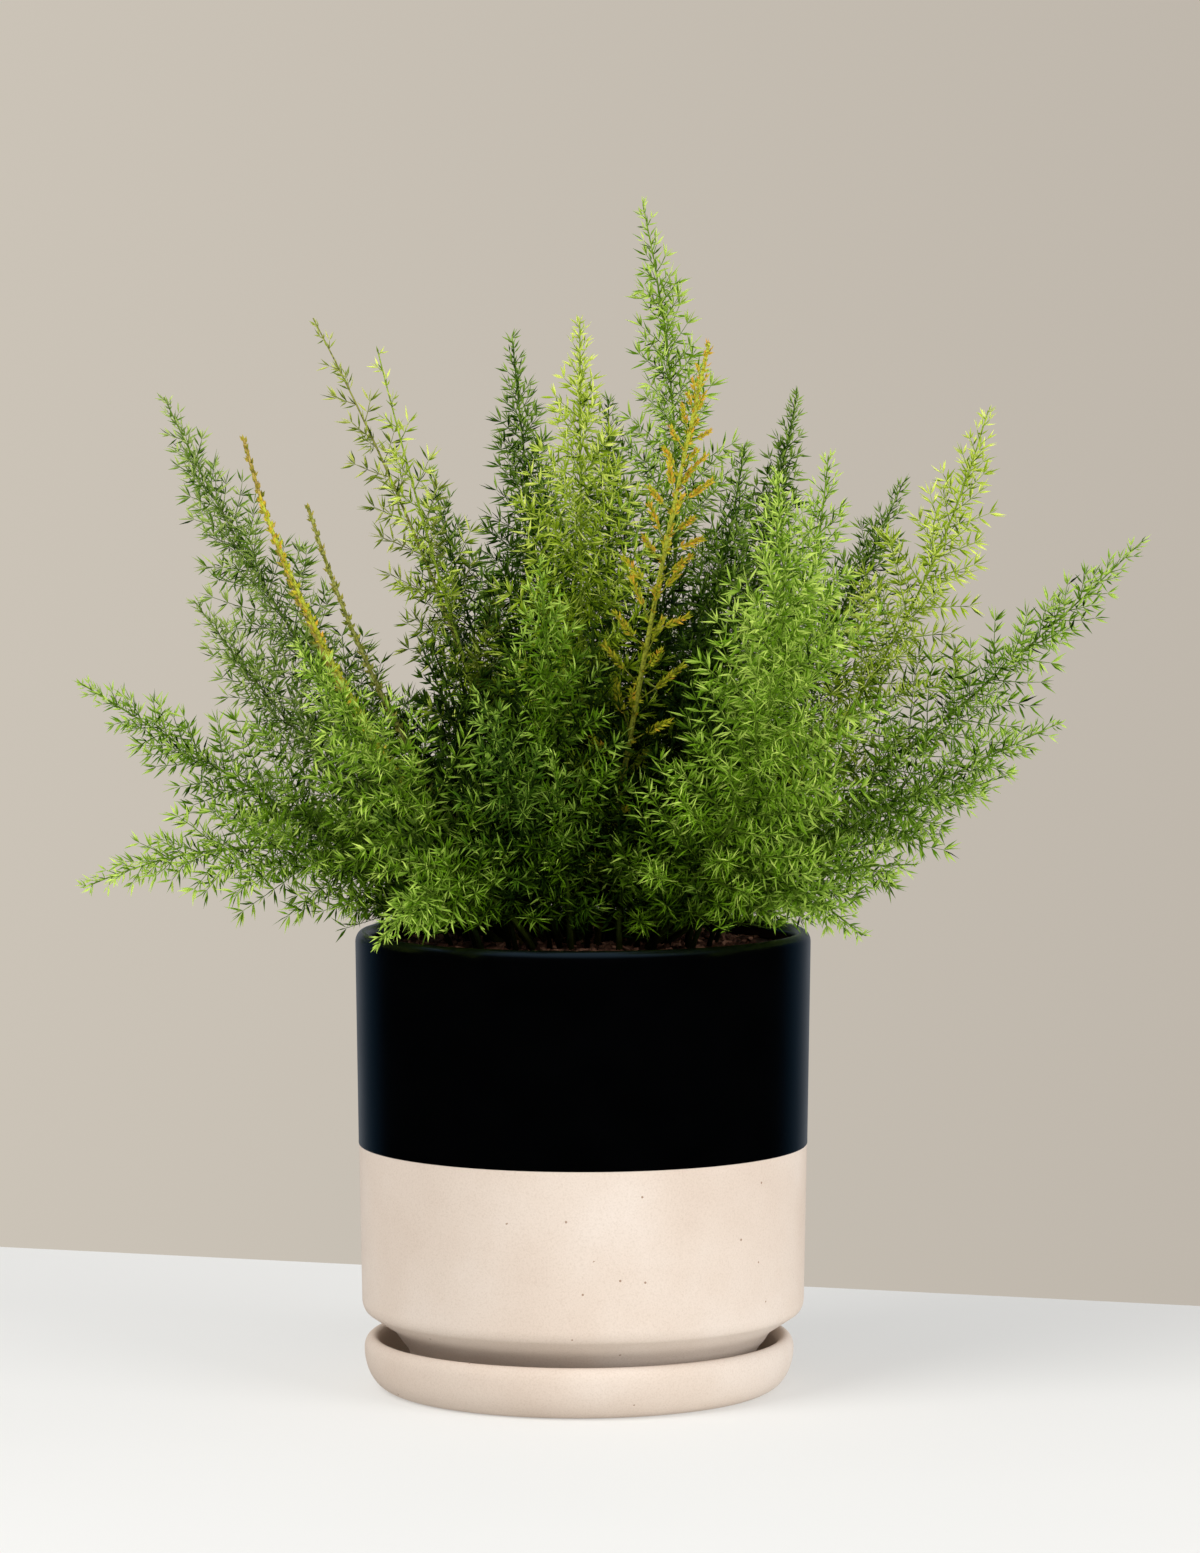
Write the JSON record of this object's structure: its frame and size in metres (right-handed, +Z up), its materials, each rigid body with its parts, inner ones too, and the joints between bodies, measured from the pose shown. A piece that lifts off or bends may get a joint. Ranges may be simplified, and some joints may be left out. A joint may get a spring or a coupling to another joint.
{
  "type": "potted foxtail fern",
  "caption": "Foxtail fern with upright needle plumes in a straight two-tone stoneware planter, black glaze over raw clay, on its saucer",
  "frame": {"origin": "on the flat underside of the saucer, straight below the middle of the pot", "axes": "+Z up, also the longest extent; +X to the right of the picture's view, the way the long right plume leans; -Y to the front"},
  "size_m": [0.4738, 0.3046, 0.533],
  "materials": {
    "bisque": "raw sandy stoneware, matt",
    "pot": "satin black glaze above the waist, raw sandy stoneware below",
    "soil": "loose brown potting mix",
    "leaf_fresh": "living fern stem and needles, soft sheen",
    "leaf_green": "living fern stem and needles, soft sheen",
    "leaf_grey": "living fern stem and needles, soft sheen",
    "leaf_dark": "living fern stem and needles, soft sheen",
    "leaf_lime": "living fern stem and needles, soft sheen",
    "leaf_olive": "living fern stem and needles, soft sheen",
    "shoot_gold": "living fern stem and needles, soft sheen",
    "spear_rust": "living fern stem and needles, soft sheen",
    "spear_moss": "living fern stem and needles, soft sheen"
  },
  "bodies": {
    "root": {"saucer": "bisque", "pot": "pot", "soil": "soil", "plume_tallest": "leaf_fresh", "plume_left_tall": "leaf_grey", "plume_left_sparse": "leaf_olive", "plume_left_slim": "leaf_lime", "plume_left_middle": "leaf_grey", "plume_left_long": "leaf_green", "plume_left_low": "leaf_fresh", "plume_left_front": "leaf_fresh", "plume_left_back": "leaf_dark", "plume_centre_dark": "leaf_dark", "plume_centre_light": "leaf_lime", "plume_centre_back": "leaf_dark", "plume_front_centre": "leaf_green", "plume_front_left": "leaf_dark", "plume_front_middle": "leaf_green", "plume_front_right": "leaf_fresh", "plume_front_low_left": "leaf_green", "plume_front_low_middle": "leaf_green", "plume_front_low_right": "leaf_green", "plume_right_small_dark": "leaf_dark", "plume_right_back_dark": "leaf_dark", "plume_right_steep": "leaf_fresh", "plume_right_dark": "leaf_dark", "plume_right_bright": "leaf_lime", "plume_right_long": "leaf_green", "plume_right_low": "leaf_green", "plume_right_low_back": "leaf_green", "plume_right_hanging": "leaf_green", "plume_back_inner": "leaf_dark", "plume_back_left": "leaf_green", "plume_back_low_left": "leaf_fresh", "plume_back": "leaf_green", "plume_back_low": "leaf_fresh", "plume_back_right": "leaf_green", "plume_back_low_right": "leaf_green", "plume_back_low_middle": "leaf_green", "shoot_gold": "shoot_gold", "spear_tall": "spear_rust", "spear_middle": "shoot_gold", "spear_short": "spear_moss"}
  },
  "joints": []
}
